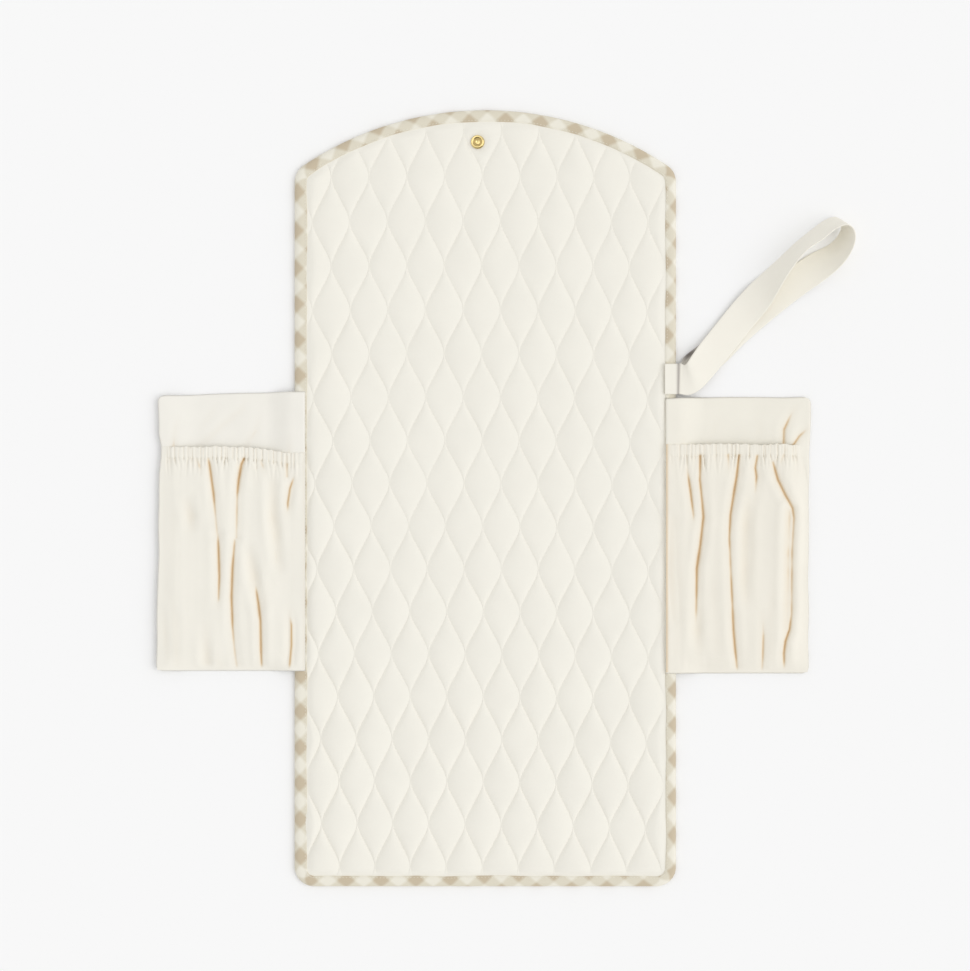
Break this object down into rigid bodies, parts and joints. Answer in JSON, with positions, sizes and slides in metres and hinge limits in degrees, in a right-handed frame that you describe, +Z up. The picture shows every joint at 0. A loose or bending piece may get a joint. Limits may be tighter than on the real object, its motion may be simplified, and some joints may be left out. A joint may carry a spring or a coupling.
{
  "type": "portable changing pad",
  "caption": "Quilted fold-up baby changing pad laid open, with an arched snap flap, gathered elastic pockets on side wings, a bound edge and a wrist strap loop.",
  "frame": {"origin": "middle of the pad's back face, on the table the pad lies on", "axes": "+X across the pad to the strap's side, +Y along the pad towards the arched flap, +Z up out of the quilted face"},
  "size_m": [0.635, 0.712, 0.0235],
  "materials": {
    "cotton_lining": "matt quilted cotton",
    "cotton_plain": "matt plain-weave cotton",
    "cotton_tape": "matt folded cotton tape",
    "gingham": "matt beige and cream gingham cotton",
    "wadding": "soft non-woven fibre",
    "barrier_film": "thin soft film",
    "elastic": "knitted elastic",
    "snap_brass": "polished light gold",
    "spring_steel": "bright wire"
  },
  "bodies": {
    "middle": {"middle_quilted_lining": "cotton_lining", "middle_wadding": "wadding", "middle_moisture_barrier": "barrier_film", "middle_outer_cover": "gingham", "left_binding": "gingham", "right_binding": "gingham", "strap_anchor": "cotton_tape"},
    "flap": {"flap_quilted_lining": "cotton_lining", "flap_wadding": "wadding", "flap_moisture_barrier": "barrier_film", "flap_outer_cover": "gingham", "flap_binding": "gingham", "snap_cap": "snap_brass", "snap_socket": "snap_brass", "snap_spring": "spring_steel"},
    "foot": {"foot_quilted_lining": "cotton_lining", "foot_wadding": "wadding", "foot_moisture_barrier": "barrier_film", "foot_outer_cover": "gingham", "foot_binding": "gingham", "snap_stud": "snap_brass", "snap_rivet": "snap_brass", "stud_patch": "wadding"},
    "left_wing": {"left_wing_back": "cotton_plain", "left_wing_front": "cotton_plain", "left_pocket": "cotton_plain", "left_pocket_elastic": "elastic"},
    "right_wing": {"right_wing_back": "cotton_plain", "right_wing_front": "cotton_plain", "right_pocket": "cotton_plain", "right_pocket_elastic": "elastic"},
    "wrist_strap_loop": {"wrist_strap": "cotton_tape"}
  },
  "joints": [
    {"name": "flap_fold", "type": "hinge", "parent": "middle", "child": "flap", "pos_m": [0, 0.126, 0.0165], "axis": [1, 0, 0], "range_deg": [0, 180]},
    {"name": "foot_fold", "type": "hinge", "parent": "middle", "child": "foot", "pos_m": [0, -0.164, 0.01265], "axis": [-1, 0, 0], "range_deg": [0, 180]},
    {"name": "left_wing_fold", "type": "hinge", "parent": "middle", "child": "left_wing", "pos_m": [-0.165, 0, 0.0088], "axis": [0, 1, 0], "range_deg": [0, 180]},
    {"name": "right_wing_fold", "type": "hinge", "parent": "middle", "child": "right_wing", "pos_m": [0.165, 0, 0.0088], "axis": [0, -1, 0], "range_deg": [0, 180]},
    {"name": "strap_lift", "type": "hinge", "parent": "middle", "child": "wrist_strap_loop", "pos_m": [0.1759, 0.10925, 0.00805], "axis": [0, -1, 0], "range_deg": [0, 90]}
  ]
}
